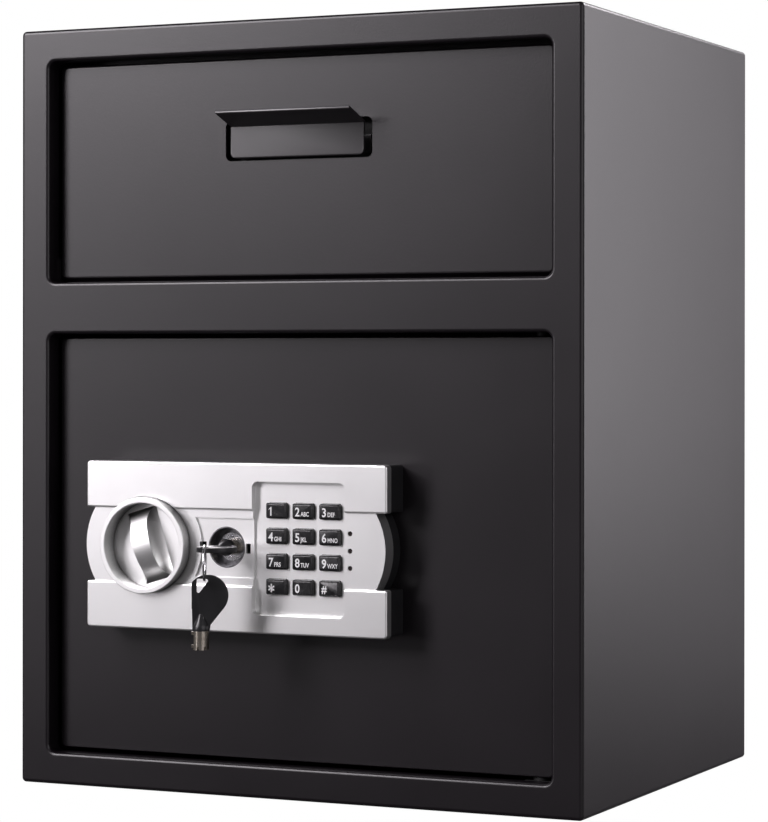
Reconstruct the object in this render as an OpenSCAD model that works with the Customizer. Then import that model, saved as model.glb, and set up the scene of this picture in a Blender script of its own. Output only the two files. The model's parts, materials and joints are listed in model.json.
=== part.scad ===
// Drop safe with a tilt-out deposit drawer above and an electronic lock on the door below.
// Millimetres. The origin is the centre of the base, X to the right, Y to the back, Z up.
// Sizes called "out" are distances in front of the front frame; behind it they are negative.

/* [Cabinet] */
// Outside width of the cabinet
body_w = 400; // [390:5:460]
// Outside depth of the cabinet
body_d = 320; // [300:5:400]
// Outside height of the cabinet
body_h = 500; // [495:5:560]
// Sheet thickness of sides, roof, floor and back
wall_t = 2; // [1.5:0.25:3]
// Thickness of the front frame, also the radius of its outer edges
frame_t = 2.5; // [2:0.25:3]
// Face width of the frame around the openings
rim_w = 21; // [19:1:25]
// Face height of the rail between drawer and door
rail_h = 34; // [30:1:40]
// Depth of the folded lips around both openings
lip_d = 13; // [12:0.5:14]
// Sheet thickness of the folded lips
lip_t = 2; // [1.5:0.25:3]
// Corner radius of both openings
opening_r = 5; // [3.5:0.5:8]
// How far drawer front and door lie behind the front frame
recess = 12; // [10:0.5:12]
// Gap all round the drawer front and the door
panel_gap = 2.5; // [2:0.25:3]
// Radius of the anchor holes in the floor
anchor_r = 6; // [4:0.5:8]
// Distance between the anchor holes from side to side
anchor_dx = 240; // [160:10:260]
// Distance between the anchor holes from front to back
anchor_dy = 180; // [120:10:200]

/* [Deposit drawer] */
// Height of the drawer opening
drawer_h = 146.5; // [144:0.5:150]
// Sheet thickness of the drawer front
drawer_t = 2; // [1.5:0.25:2.5]
// Sheet thickness of the tray, its sides and the chute
tray_t = 1.5; // [1:0.25:2]
// How far the drawer tilts out, in degrees
drawer_tilt = 42; // [30:1:42]
// Radius of the drawer's side plates about its pivot
tray_r = 118; // [100:2:120]
// Slope of the closed tray floor below the horizontal, in degrees
tray_slope = 50; // [48:1:54]
// Running gap between the side plates and the curved baffle
baffle_gap = 3; // [2:0.5:5]
// Radius of the drawer's pivot pins
drawer_pin_r = 3; // [2.5:0.25:3.5]
// Width of the finger window in the drawer front
window_w = 105; // [90:5:140]
// Height of the finger window
window_h = 26; // [22:1:30]
// Height of the window's middle above the drawer opening's floor
window_z = 90.5; // [70:0.5:105]
// Width of the bent grip plate in the window
grip_w = 95; // [70:5:120]
// Thickness of the bent grip plate
grip_t = 2; // [1.5:0.25:3]
// How far the grip stands in front of the drawer front
grip_proud = 24; // [18:1:30]

/* [Door] */
// Thickness of the door plate
door_t = 4; // [3:0.5:6]
// Radius of the door's hinge pins
door_pin_r = 4; // [3:0.25:5]
// Distance of the hinge axis from the door's edge
hinge_in = 10.5; // [10:0.5:14]
// Depth of the hinge axis behind the front frame
hinge_back = 20; // [19:0.5:22]

/* [Lock panel] */
// Width of the lock panel
panel_w = 216.2; // [210:0.2:230]
// Height of the lock panel
panel_h = 108.6; // [100:0.2:120]
// Middle of the lock panel, from the middle of the cabinet
panel_x = -33.7; // [-40:0.1:-20]
// Height of the lock panel's middle above the base
panel_z = 161.3; // [150:0.1:170]
// How far the panel's two bars stand in front of the frame
bar_out = 13; // [10:0.5:16]
// How far the middle band stands in front of the frame
band_out = 11; // [9:0.5:12]
// Height of the middle band
band_h = 48; // [44:1:52]
// Radius of the band's round ends
band_r = 46; // [44:0.5:48]
// Wall of the black housing behind the panel
housing_t = 2; // [1.5:0.25:3]

/* [Knob] */
// Outer radius of the knob's ring
knob_r = 31; // [28:0.5:34]
// How far the ring stands in front of the band
knob_h = 9; // [7:0.5:12]
// Depth of the dish behind the front of the ring
dish_deep = 13; // [11:0.5:13]
// Width of the grip bar along its crown
grip_crown_w = 13; // [10:0.5:15]
// Width of the grip bar at its foot
grip_foot_w = 22; // [20:0.2:26]
// Tilt of the grip bar from upright, in degrees
grip_tilt = 17; // [0:1:30]
// Radius of the crank that drives the bolts
crank_r = 11.3; // [10:0.1:12.5]
// Radius of the crank pin
crank_pin_r = 3; // [2:0.25:3.5]
// Radius of the knob's spindle
spindle_r = 4; // [3:0.25:5]

/* [Bolt work] */
// Radius of the locking bolts
bolt_r = 8; // [6:0.5:10]
// Height of each bolt above and below the lock's middle
bolt_dz = 60; // [52:1:64]
// Length of a locking bolt
bolt_len = 52; // [48:1:60]

/* [Keypad] */
// Width of a key
key_w = 14.5; // [12:0.1:16]
// Height of a key
key_h = 9.9; // [8:0.1:12]
// Distance between keys across
key_dx = 18.8; // [18.6:0.1:19]
// Distance between keys from row to row
key_dz = 16.15; // [15:0.05:17]
// How far the keys stand out of the keypad's floor
key_proud = 3.3; // [2:0.1:4]
// Travel of a key
key_travel = 1.2; // [0.8:0.1:1.4]

/* [Override lock and keys] */
// Radius of the lock cylinder
cylinder_r = 9; // [8:0.25:10]
// Radius of the turning plug
plug_r = 6.2; // [5.8:0.1:7]
// Outer radius of the tubular key barrel
barrel_r = 5; // [4.5:0.1:5]
// Radius of the key's round head
head_r = 13; // [12.5:0.1:13.5]
// Thickness of the key's head
head_t = 3.2; // [2.5:0.1:4]
// Mean radius of the key ring
ring_r = 10.8; // [10.8:0.05:11.3]
// Radius of the key ring's wire
wire_r = 0.8; // [0.6:0.05:0.9]

/* [Hidden] */
$fn = 96;

steel_dark = [0.20, 0.19, 0.20];
steel_zinc = [0.68, 0.69, 0.70];
silver = [0.87, 0.87, 0.88];
black = [0.07, 0.07, 0.08];

// Running clearance on every turning or sliding fit
run = 0.05;
// Seat clearance of parts that lie against each other but move
seat = 0.3;

// Openings of the front frame: [height of the middle, height]
open_w = body_w - 2 * rim_w;
top_open = [body_h - rim_w - drawer_h / 2, drawer_h];
door_open_h = body_h - 2 * rim_w - rail_h - drawer_h;
low_open = [rim_w + door_open_h / 2, door_open_h];
leaf_w = open_w - 2 * panel_gap;
leaf_r = opening_r - 1.5;

// Drawer: pivot, and the sloped floor as a line in the plane across the pivot
pivot_y = -body_d / 2 + recess + 8;
pivot_z = top_open[0] - drawer_h / 2 + 8.5;
front_back = drawer_t - 8;
floor_start = [front_back, panel_gap - 8];
floor_dir = [cos(tray_slope), -sin(tray_slope)];
floor_up = [sin(tray_slope), cos(tray_slope)];
floor_len = tray_r - 4;
guard_drop = 6;
guard_line = floor_start - guard_drop * floor_up;
baffle_r = tray_r + baffle_gap;
baffle_low = -(tray_slope - drawer_tilt) - 6;
baffle_high = 84;
side_x = leaf_w / 2 - tray_t;
bracket_t = 4;
bracket_in = open_w / 2 - 2;
window_mid = top_open[0] - drawer_h / 2 + window_z;
pan_depth = 10;
pan_wall = 1.2;

// Door: hinge axis, and the levels of what is fixed to its back
hinge_x = leaf_w / 2 - hinge_in;
hinge_y = -body_d / 2 + hinge_back;
door_back = -recess - door_t;
block_h = 8;
lug_h = 20;
lug_w = 16;
washer_t = panel_gap - 0.1;

// Lock panel
bar_h = (panel_h - band_h) / 2;
bar_deep = 6.5;
bar_ease = 1.2;
bar_corners = [2.5, 2.5, 1.3, 1.3];
band_deep = 12;
fascia_t = 2.5;
skirt_t = 2;
knob_x = panel_x - 63.3;
arc_x = panel_x + 60.2;
cyl_x = panel_x - 6.4;
pad_x = panel_x + 46.05;
pad_w = 65.3;
pad_h = 85.2;
pad_r = 4;
pad_floor = band_out - 3;
pad_sheet = 2;
keys_x = panel_x + 48.15;
cap_gap = 0.3;
flange_t = 1.5;
board_top = pad_floor - 6;
board_t = 1.6;
board_w = 70;
board_h = 84;
mat_t = 0.9;
led_x = panel_x + 81.7;
led_dz = 10.9;
led_r = 1.5;
cover_recess = 1.5;

// Square holes beside the lock's cup: [left, low, width, height] from the lock's axis
panel_slots = [[-18.9, 0.4, 4.2, 2.9], [14, -3.7, 3.2, 6.3]];

// Knob and bolt work
knob_back = band_out - 6.5;
knob_sheet = 1.5;
skirt_r = knob_r - 1.5;
ring_front = band_out + knob_h;
ring_wall = 3.4;
ring_ease = 0.5;
dish_r = knob_r - ring_wall;
dish_floor = ring_front - dish_deep;
crown_r = 28;
flank_r = 13;
crank_t = 4;
crank_out = door_back - 12;
plate_t = 3;
carriage_out = crank_out - crank_t - plate_t - 3;
bolt_out = carriage_out + plate_t / 2;
bolt_throw = 2 * crank_r * sin(45);
bolt_tip_x = -leaf_w / 2 + 0.5;
bolt_end_x = bolt_tip_x + bolt_len;
lug_plate = 4;
keeper_x = -open_w / 2 - lip_t;
slot_play = 0.6;
keeper_play = 0.6;
crank_x = knob_x + crank_r * cos(45);
plunger_x = knob_x + 37;
plunger_r = 3;
plunger_travel = 6;
coil_w = 24;
coil_h = 22;
coil_z = panel_z - 71.3;
tab_w = 3.5;

// Inner cover
cover_t = 1.5;
cover_deep = 38;
cover_back = door_back - cover_deep;
cover_left = bolt_tip_x + 30;
cover_right = panel_x + 125.7;
cover_h = 146;
cover_lip = 12;
battery_r = 7.1;
battery_len = 50.5;
battery_dz = 15.5;
battery_x = cover_right - 46;
battery_z = panel_z - 30;
box_wall = 1.5;
reset_x = cover_right - 18;
reset_z = panel_z + 50;
reset_r = 4;
reset_travel = 1.5;

// Override lock and keys
cyl_face = band_out - cover_recess - 7.2;
cyl_back = door_back - 11;
cup_r = 13.2;
cup_sheet = 0.8;
barrel_in_r = 3.4;
barrel_len = 11.9;
tip_notch = [1.4, 2.2];
key_out = cyl_face + 6.7;
neck_r = 5.4;
neck_len = 2.8;
head_left = -5.9;
head_mid = [4.2, 22.4];
shoulder_r = 6;
hole_r = 1.1;
hole_corners = [[-1.7, 31.9], [3.3, 31.7], [-1.7, 25.1]];
hole_top = hole_corners[0][1] + hole_r;
nib = [1.05, 2];
ring_turn = 25;
ring_u = 1.9;
ring_w = 34.1;
ring_z = panel_z + head_t / 2 + 0.35 - ring_r + wire_r;
hang_u = 2.1;

// Puts its children on a plane parallel to the front frame: x right, y up, z towards the viewer
module on_face(out = 0) {
    translate([0, -body_d / 2 - out, 0]) rotate([90, 0, 0]) children();
}

// A flat piece between two levels in front of the frame
module layer(low, high) {
    on_face(low) linear_extrude(high - low) children();
}

// Extrudes a (y, z) outline along x, from one x to another
module across(from, to) {
    translate([from, 0, 0]) rotate([90, 0, 90]) linear_extrude(to - from) children();
}

// Moves (y, z) outlines to the drawer's pivot
module at_pivot() {
    translate([pivot_y, pivot_z]) children();
}

// Radius of corner k of a rectangle, counted anticlockwise from the upper right; all are alike if r is one number
function corner_of(r, k) = is_list(r) ? r[k] : r;

// Rectangle whose corners have radii of their own
module rounded_each(w, h, r) {
    sides = [[1, 1], [-1, 1], [-1, -1], [1, -1]];
    for (k = [0:3]) {
        translate([sides[k][0] * (w / 2 - r[k]), sides[k][1] * (h / 2 - r[k])]) circle(r[k]);
    }
    polygon([
        [w / 2, -h / 2 + r[3]],
        [w / 2, h / 2 - r[0]],
        [w / 2 - r[0], h / 2],
        [-w / 2 + r[1], h / 2],
        [-w / 2, h / 2 - r[1]],
        [-w / 2, -h / 2 + r[2]],
        [-w / 2 + r[2], -h / 2],
        [w / 2 - r[3], -h / 2]
    ]);
}

module rounded(w, h, r) {
    square([w - 2 * r, h], center = true);
    square([w, h - 2 * r], center = true);
    for (sx = [-1, 1], sy = [-1, 1]) {
        translate([sx * (w / 2 - r), sy * (h / 2 - r)]) circle(r);
    }
}

// What a rounded edge takes off, next to a rim (hole) or an outside edge; a chamfered outside edge if flat
module edge_profile(r, hole, flat) {
    spill = 1;
    if (flat) {
        polygon([[0, 0], [r, -r], [r + spill, -r], [r + spill, spill], [0, spill]]);
    } else {
        difference() {
            translate([hole ? -spill : 0, -r]) square([r + spill, r + spill]);
            translate([hole ? r : 0, -r]) circle(r);
        }
    }
}

// Cutter that eases the front edge of a plate or of a hole; the front is at z = 0
module edge_cut(w, h, corners, r, hole = false, flat = false) {
    for (k = [0:3]) {
        a = k % 2 == 0 ? w : h;
        b = k % 2 == 0 ? h : w;
        this = corner_of(corners, k);
        last = corner_of(corners, (k + 3) % 4);
        rotate([0, 0, 90 * k]) {
            translate([hole ? a / 2 : a / 2 - r, b / 2 - this, 0])
                rotate([90, 0, 0]) linear_extrude(b - this - last) edge_profile(r, hole, flat);
            translate([a / 2 - this, b / 2 - this, 0])
                rotate_extrude(angle = 90) translate([hole ? this : this - r, 0]) edge_profile(r, hole, flat);
        }
    }
}

// Plate with an eased front edge, its front at the given level
module eased_plate(w, h, corner, t, out, ease, flat = false) {
    on_face(out) difference() {
        translate([0, 0, -t]) linear_extrude(t) rounded(w, h, corner);
        edge_cut(w, h, corner, ease, flat = flat);
    }
}

// Bent strip of even thickness through a few points
module strip(points, t) {
    for (i = [0:len(points) - 2]) {
        step = points[i + 1] - points[i];
        translate(points[i]) rotate(atan2(step[1], step[0])) translate([0, -t / 2]) square([norm(step), t]);
    }
    for (p = points) {
        translate(p) circle(t / 2);
    }
}

// Cabinet

module cabinet_wrap() color(steel_dark) difference() {
    on_face(-body_d) translate([0, body_h / 2, 0]) linear_extrude(body_d - frame_t) difference() {
        rounded(body_w, body_h, frame_t + 0.5);
        rounded(body_w - 2 * wall_t, body_h - 2 * wall_t, 1);
    }
    for (sx = [-1, 1], sy = [-1, 1]) {
        translate([sx * anchor_dx / 2, sy * anchor_dy / 2, -1]) cylinder(h = wall_t + 2, r = anchor_r);
    }
}

module front_frame() color(steel_dark) on_face() difference() {
    union() {
        translate([0, body_h / 2, -frame_t]) linear_extrude(frame_t) rounded(body_w, body_h, frame_t + 0.5);
        for (o = [top_open, low_open]) {
            translate([0, o[0], -lip_d]) linear_extrude(lip_d - frame_t / 2)
                rounded(open_w + 2 * lip_t, o[1] + 2 * lip_t, opening_r + lip_t);
        }
    }
    translate([0, body_h / 2, 0]) edge_cut(body_w, body_h, frame_t + 0.5, frame_t);
    for (o = [top_open, low_open]) {
        translate([0, o[0], -lip_d - 1]) linear_extrude(lip_d + 2) rounded(open_w, o[1], opening_r);
        translate([0, o[0], 0]) edge_cut(open_w, o[1], opening_r, frame_t - 0.3, true);
    }
}

module back_panel() color(steel_dark) {
    flange = 15;
    inside = [body_w - 2 * wall_t, body_h - 2 * wall_t];
    on_face(-body_d) translate([0, body_h / 2, 0]) difference() {
        linear_extrude(flange) rounded(inside[0], inside[1], 1);
        translate([0, 0, wall_t]) linear_extrude(flange)
            square([inside[0] - 2 * wall_t, inside[1] - 2 * wall_t], center = true);
    }
}

// Curved sheet behind the drawer that stops fishing, with a strip up to the roof
module deposit_baffle() color(steel_dark) across(-body_w / 2 + wall_t, body_w / 2 - wall_t) at_pivot() {
    far = 2 * baffle_r;
    roof = body_h - wall_t - pivot_z;
    foot_y = baffle_r * cos(baffle_high);
    intersection() {
        difference() {
            circle(baffle_r + tray_t);
            circle(baffle_r);
        }
        polygon([
            [0, 0],
            far * [cos(baffle_low), sin(baffle_low)],
            [far, far],
            far * [cos(baffle_high), sin(baffle_high)]
        ]);
    }
    translate([foot_y, baffle_r * sin(baffle_high)]) square([tray_t, roof - baffle_r * sin(baffle_high)]);
    translate([foot_y, roof - tray_t]) square([14, tray_t]);
}

// Sloping sheet under the drawer's tray, fixed to the rail; it carries the closing stops
module chute_guard() color(steel_dark) across(-body_w / 2 + wall_t, body_w / 2 - wall_t) at_pivot() {
    face = -body_d / 2 + lip_d - pivot_y;
    start_z = guard_line[1] - (face - guard_line[0]) * tan(tray_slope);
    start = [face, start_z];
    end = guard_line + floor_len * floor_dir;
    drop = tray_t / cos(tray_slope);
    rail_low = low_open[0] + low_open[1] / 2 - pivot_z;
    polygon([
        start,
        end,
        end - [0, 12],
        end - [tray_t, 12],
        end - [tray_t, drop - tray_t * tan(tray_slope)],
        [face + tray_t, start_z - tray_t * tan(tray_slope) - drop],
        [face + tray_t, rail_low],
        [face, rail_low]
    ]);
}

module guard_bumpers() color(black) {
    seat_at = guard_line + 0.7 * floor_len * floor_dir;
    for (sx = [-1, 1]) {
        translate([sx * body_w * 0.3, pivot_y + seat_at[0], pivot_z + seat_at[1]]) rotate([-tray_slope, 0, 0])
            cylinder(h = guard_drop - seat, r = 6);
    }
}

module drawer_brackets() color(steel_dark) {
    lip_back = lip_d - recess - 8;
    for (sx = [-1, 1]) {
        across(sx * bracket_in - (sx < 0 ? bracket_t : 0), sx * bracket_in + (sx > 0 ? bracket_t : 0)) at_pivot()
            difference() {
                intersection() {
                    circle(10);
                    translate([lip_back, -10.5]) square([20, 21]);
                }
                circle(drawer_pin_r + run);
            }
    }
}

// Angle behind the left stile, welded to the cabinet's side; the bolts slide out behind it
module bolt_keeper() color(steel_dark) {
    keeper_t = 3;
    back = bolt_out + bolt_r + keeper_play;
    high = 2 * bolt_dz + 4 * bolt_r;
    low = panel_z - high / 2;
    translate([keeper_x - keeper_t, -body_d / 2 + lip_d, low]) cube([keeper_t, -lip_d - back, high]);
    translate([-body_w / 2 + wall_t, -body_d / 2 - back - keeper_t, low])
        cube([keeper_x + body_w / 2 - wall_t, keeper_t, high]);
}

// Blocks behind the frame that the door's hinge pins turn in
module door_hinge_blocks() color(steel_dark) difference() {
    front = -body_d / 2 + lip_d + tray_t;
    union() {
        translate([hinge_x - 10, front, low_open[0] + low_open[1] / 2]) cube([20, 14, block_h]);
        translate([hinge_x - 10, front, wall_t]) cube([20, 14, rim_w - wall_t]);
    }
    translate([hinge_x, hinge_y, low_open[0] + low_open[1] / 2 - 1]) cylinder(h = block_h + 2, r = door_pin_r + run);
    translate([hinge_x, hinge_y, rim_w - 12]) cylinder(h = 13, r = door_pin_r + run);
}

// Deposit drawer

module drawer_front() color(steel_dark) difference() {
    flange = 10;
    high = drawer_h - 2 * panel_gap;
    on_face(-recess) translate([0, top_open[0], 0]) difference() {
        translate([0, 0, -flange]) linear_extrude(flange) rounded(leaf_w, high, leaf_r);
        translate([0, 0, -flange - 1]) linear_extrude(flange + 1 - drawer_t)
            rounded(leaf_w - 2 * tray_t, high - 2 * tray_t, leaf_r - tray_t);
        translate([-side_x, -high / 2 - 1, -flange - 1]) cube([2 * side_x, 12, flange + 1 - drawer_t]);
        edge_cut(leaf_w, high, leaf_r, drawer_t - 0.2);
        translate([0, window_mid - top_open[0], -flange]) linear_extrude(flange + 1) rounded(window_w, window_h, 4);
    }
    translate([-leaf_w, pivot_y, pivot_z]) rotate([0, 90, 0]) cylinder(h = 2 * leaf_w, r = drawer_pin_r + run);
}

// Bent plate that the hand pulls: tab, leg, web and sloping lip; its lower corners are round
module grip_plate() color(steel_dark) {
    web_out = -recess + 1.5;
    low = window_mid - window_h / 2 + 1.5 + grip_t / 2;
    top = window_mid + window_h / 2 - 3.2;
    tab_out = -recess - drawer_t - pan_depth + pan_wall + grip_t / 2;
    tip = grip_proud - recess - grip_t / 2;
    high = 2 * window_h;
    intersection() {
        mirror([0, 1, 0]) translate([0, body_d / 2, 0]) across(-grip_w / 2, grip_w / 2) strip([
            [tab_out, low + 12],
            [tab_out, low],
            [web_out, low],
            [web_out, top],
            [tip, top + (tip - web_out) * tan(18)]
        ], grip_t);
        layer(tab_out - 2 * grip_t, grip_proud) translate([0, low - grip_t / 2 + high / 2])
            rounded(grip_w, high, 4);
    }
}

// Shallow pan that closes the finger window from behind
module grip_pan() color(steel_dark) {
    wide = window_w + 8;
    high = window_h + 8;
    back = -recess - drawer_t - pan_depth;
    on_face(back) translate([0, window_mid, 0]) difference() {
        union() {
            linear_extrude(pan_depth) rounded(wide, high, 5);
            translate([0, 0, pan_depth - pan_wall]) linear_extrude(pan_wall) rounded(wide + 12, high + 8, 5);
        }
        translate([0, 0, pan_wall]) linear_extrude(pan_depth)
            rounded(wide - 2 * pan_wall, high - 2 * pan_wall, 5 - pan_wall);
    }
}

// Pie-shaped side of the drawer, with the ear that stops it against the frame
module drawer_side(s) {
    far = 2 * tray_r;
    ear_z = tray_r - 16;
    inner = side_x - tray_t;
    across(s > 0 ? inner : -side_x, s > 0 ? side_x : -inner) at_pivot() difference() {
        intersection() {
            circle(tray_r);
            polygon([
                floor_start,
                [front_back, far],
                [far, far],
                floor_start + far * floor_dir
            ]);
        }
        circle(drawer_pin_r + run);
    }
    translate([0, pivot_y, pivot_z]) rotate([-drawer_tilt, 0, 0])
        translate([s > 0 ? inner : -side_x - 7, lip_d - recess - 8 + seat, ear_z]) cube([7 + tray_t, 3, 12]);
}

module drawer_side_left() color(steel_dark) drawer_side(-1);

module drawer_side_right() color(steel_dark) drawer_side(1);

module tray_floor() color(steel_dark) across(-side_x + tray_t, side_x - tray_t) at_pivot() {
    floor_end = floor_start + floor_len * floor_dir;
    polygon([
        floor_start,
        floor_end,
        floor_end + tray_t * floor_up,
        [front_back + tray_t, floor_start[1] + tray_t / cos(tray_slope) - tray_t * tan(tray_slope)],
        [front_back + tray_t, 12],
        [front_back, 12]
    ]);
    translate(floor_end + tray_t * floor_up) circle(tray_t);
}

module drawer_pivot_pins() color(steel_dark) for (s = [-1, 1]) {
    translate([s * (side_x - tray_t), pivot_y, pivot_z]) rotate([0, s * 90, 0]) {
        cylinder(h = bracket_in + bracket_t - side_x + tray_t + 2, r = drawer_pin_r);
        translate([0, 0, -1.5]) cylinder(h = 1.5, r = -front_back - tray_t - seat);
    }
}

// Door

module door_plate() color(steel_dark) difference() {
    translate([0, 0, low_open[0]]) eased_plate(leaf_w, door_open_h - 2 * panel_gap, leaf_r, door_t, -recess, 1.2);
    layer(door_back - 1, -recess + 1) {
        translate([knob_x, panel_z]) circle(spindle_r + 3);
        translate([cyl_x, panel_z]) circle(cylinder_r + run);
        translate([keys_x, panel_z]) circle(7);
    }
    layer(door_back - 1, door_back + 3) for (p = cover_screw_places()) {
        translate(p) circle(2 + run);
    }
}

module door_hinge_lugs() color(steel_dark) difference() {
    union() {
        for (z = [rim_w + panel_gap, rim_w + door_open_h - panel_gap - lug_h]) {
            translate([hinge_x - lug_w / 2, -body_d / 2 - door_back, z])
                cube([lug_w, hinge_back + door_back + door_pin_r + 2, lug_h]);
        }
    }
    translate([hinge_x, hinge_y, rim_w]) cylinder(h = door_open_h, r = door_pin_r + run / 2);
}

module door_hinge_pins() color(steel_dark) {
    low = rim_w + panel_gap;
    high = rim_w + door_open_h - panel_gap;
    translate([hinge_x, hinge_y, low - 13]) cylinder(h = 13 + lug_h - 2, r = door_pin_r);
    translate([hinge_x, hinge_y, low - washer_t]) cylinder(h = washer_t, r = door_pin_r + 2);
    translate([hinge_x, hinge_y, high - lug_h + 2]) cylinder(h = lug_h - 2 + panel_gap + block_h - 1, r = door_pin_r);
}

// Channel on the door's back that the bolts slide in
module bolt_guide() color(steel_zinc) {
    left = bolt_tip_x + 8;
    gap = 18;
    high = 2 * bolt_dz + 3 * bolt_r;
    base = 2;
    deep = door_back - base - (bolt_out - bolt_r - 4);
    difference() {
        union() {
            for (x = [left, left + gap]) {
                translate([x, -body_d / 2 - door_back, panel_z - high / 2]) cube([plate_t, deep + base, high]);
            }
            translate([left, -body_d / 2 - door_back, panel_z - high / 2]) cube([gap + plate_t, base, high]);
        }
        for (s = [-1, 1]) {
            translate([left - 1, -body_d / 2 - bolt_out, panel_z + s * bolt_dz])
                rotate([0, 90, 0]) cylinder(h = gap + plate_t + 2, r = bolt_r + run);
        }
    }
}

function cover_mid() = (cover_left + cover_right) / 2;
function cover_screw_places() = [
    for (x = [cover_left + 20, cover_mid(), cover_right - 20], s = [-1, 1])
        [x, panel_z + s * (cover_h + cover_lip) / 2]
];

// Folded cover over the bolt work, on the inside of the door
module inner_cover() color(steel_dark) {
    wide = cover_right - cover_left;
    difference() {
        union() {
            layer(cover_back, door_back) translate([cover_mid(), panel_z]) rounded(wide, cover_h, 3);
            layer(door_back - cover_t, door_back) translate([cover_mid(), panel_z])
                rounded(wide, cover_h + 2 * cover_lip, 3);
        }
        layer(cover_back + cover_t, door_back + 1) translate([cover_mid(), panel_z])
            rounded(wide - 2 * cover_t, cover_h - 2 * cover_t, 1.5);
        layer(cover_back - 1, cover_back + cover_t + 1) {
            translate([battery_x, battery_z]) rounded(battery_len + 4, 4 * battery_dz + 2, 2);
            translate([reset_x, reset_z]) circle(reset_r + run);
        }
        layer(door_back - cover_t - 1, door_back + 1) for (p = cover_screw_places()) {
            translate(p) circle(2.2);
        }
        for (s = [-1, 1]) {
            translate([cover_left - 1, -body_d / 2 - bolt_out, panel_z + s * bolt_dz])
                rotate([0, 90, 0]) cylinder(h = cover_t + 2, r = bolt_r + 1);
        }
    }
}

module cover_screws() color(steel_zinc) for (p = cover_screw_places()) {
    layer(door_back - cover_t - 2.4, door_back - cover_t) translate(p) circle(3.8);
    layer(door_back - cover_t, door_back + 2.8) translate(p) circle(2);
}

// Puts its children where the lock panel's bars are, the lower one turned half round
module at_bars() {
    for (s = [0, 1]) {
        translate([panel_x, panel_z]) rotate([0, 0, 180 * s]) translate([0, (panel_h + band_h) / 4]) children();
    }
}

// Outline of the lock panel's two bars, drawn in by an inset
module bars(inset) {
    at_bars() rounded_each(panel_w - 2 * inset, bar_h - 2 * inset, bar_corners);
}

// Outline of the middle band with its round ends
module band(inset) {
    intersection() {
        union() {
            translate([knob_x, panel_z]) circle(band_r - inset);
            translate([arc_x, panel_z]) circle(band_r - inset);
            translate([knob_x, panel_z - band_h / 2]) square([arc_x - knob_x, band_h]);
        }
        translate([knob_x - band_r, panel_z - band_h / 2]) square([arc_x - knob_x + 2 * band_r, band_h]);
    }
}

// Black moulded housing between the door and the silver panel
module lock_housing() color(black) difference() {
    lip = bar_out - bar_deep;
    cavity = [panel_w - 24, panel_h - 2 * housing_t - 1];
    union() {
        layer(-recess, band_out - band_deep) band(0.3);
        layer(-recess, lip) bars(0.3);
        layer(-recess, -recess + 3) translate([panel_x, panel_z]) rounded(panel_w - 20, panel_h - 20, 3);
    }
    layer(-recess + 3, lip + 1) translate([panel_x, panel_z]) rounded(cavity[0], cavity[1], 3);
    layer(-recess - 1, lip) {
        translate([knob_x, panel_z]) circle(spindle_r + 3);
        translate([cyl_x, panel_z]) circle(cylinder_r + run);
        translate([keys_x, panel_z]) circle(7);
    }
}

module key_grid() {
    for (i = [-1:1], j = [0:3]) {
        translate([keys_x + i * key_dx, panel_z + (1.5 - j) * key_dz]) children();
    }
}

// Silver moulded front panel: two bars, the lower band, the keypad's floor and the lock's recess;
// it is hollow behind, down to its sheet, the skirt of the band's round ends and the knob's pocket
module lock_fascia() color(silver) difference() {
    union() {
        on_face(bar_out) at_bars() difference() {
            translate([0, 0, -bar_deep]) linear_extrude(bar_deep) rounded_each(panel_w, bar_h, bar_corners);
            edge_cut(panel_w, bar_h, bar_corners, bar_ease);
        }
        layer(band_out - band_deep, band_out) band(0);
        layer(pad_floor - pad_sheet, bar_out - bar_deep + 0.5)
            translate([pad_x, panel_z]) rounded(pad_w + 4, pad_h + 4, pad_r + 2);
    }
    layer(pad_floor, bar_out + 1) translate([pad_x, panel_z]) rounded(pad_w, pad_h, pad_r);
    layer(-recess, knob_back - 0.5 - skirt_t) band(skirt_t);
    layer(-recess, band_out - cover_recess - fascia_t) difference() {
        band(skirt_t);
        translate([knob_x, panel_z]) circle(skirt_r + 0.5 + skirt_t);
    }
    layer(-recess, pad_floor - pad_sheet) translate([pad_x, panel_z]) rounded(pad_w, pad_h, pad_r);
    layer(-recess, bar_out) key_grid() rounded(key_w + 2 * cap_gap, key_h + 2 * cap_gap, 1.5);
    layer(band_out, bar_out + 1) translate([knob_x, panel_z]) circle(knob_r + 1);
    layer(knob_back - 0.5, bar_out + 1) translate([knob_x, panel_z]) circle(skirt_r + 0.5);
    layer(-recess, bar_out) {
        translate([knob_x, panel_z]) circle(spindle_r + 1);
        translate([cyl_x, panel_z]) circle(cup_r);
        for (k = [-1:1]) {
            translate([led_x, panel_z + k * led_dz]) circle(led_r + 0.1);
        }
    }
    layer(band_out - cover_recess, bar_out) intersection() {
        translate([knob_x + 20, panel_z - 19.3]) square([pad_x - pad_w / 2 - knob_x - 20, 38]);
        difference() {
            square(1000, center = true);
            translate([knob_x, panel_z]) circle(39.5);
        }
    }
    layer(-recess, bar_out) {
        for (slot = panel_slots) {
            translate([cyl_x + slot[0], panel_z + slot[1]]) square([slot[2], slot[3]]);
        }
    }
}

module led_lenses() color([0.2, 0.02, 0.02]) for (k = [-1:1]) {
    translate([led_x, 0, panel_z + k * led_dz]) {
        layer(board_top, band_out - 0.8) circle(led_r);
    }
}

module keypad_mat() color(black) {
    layer(board_top, board_top + mat_t) translate([keys_x, panel_z]) rounded(3 * key_dx - 1, 4 * key_dz - 1, 2);
}

module control_board() color([0.05, 0.30, 0.14]) {
    layer(board_top - board_t, board_top) translate([keys_x + 6, panel_z]) rounded(board_w, board_h, 2);
    for (sx = [-1, 1], sy = [-1, 1]) {
        layer(-recess + 3, board_top - board_t)
            translate([keys_x + 6 + sx * (board_w / 2 - 4), panel_z + sy * (board_h / 2 - 4)]) circle(2.5);
    }
}

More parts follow.
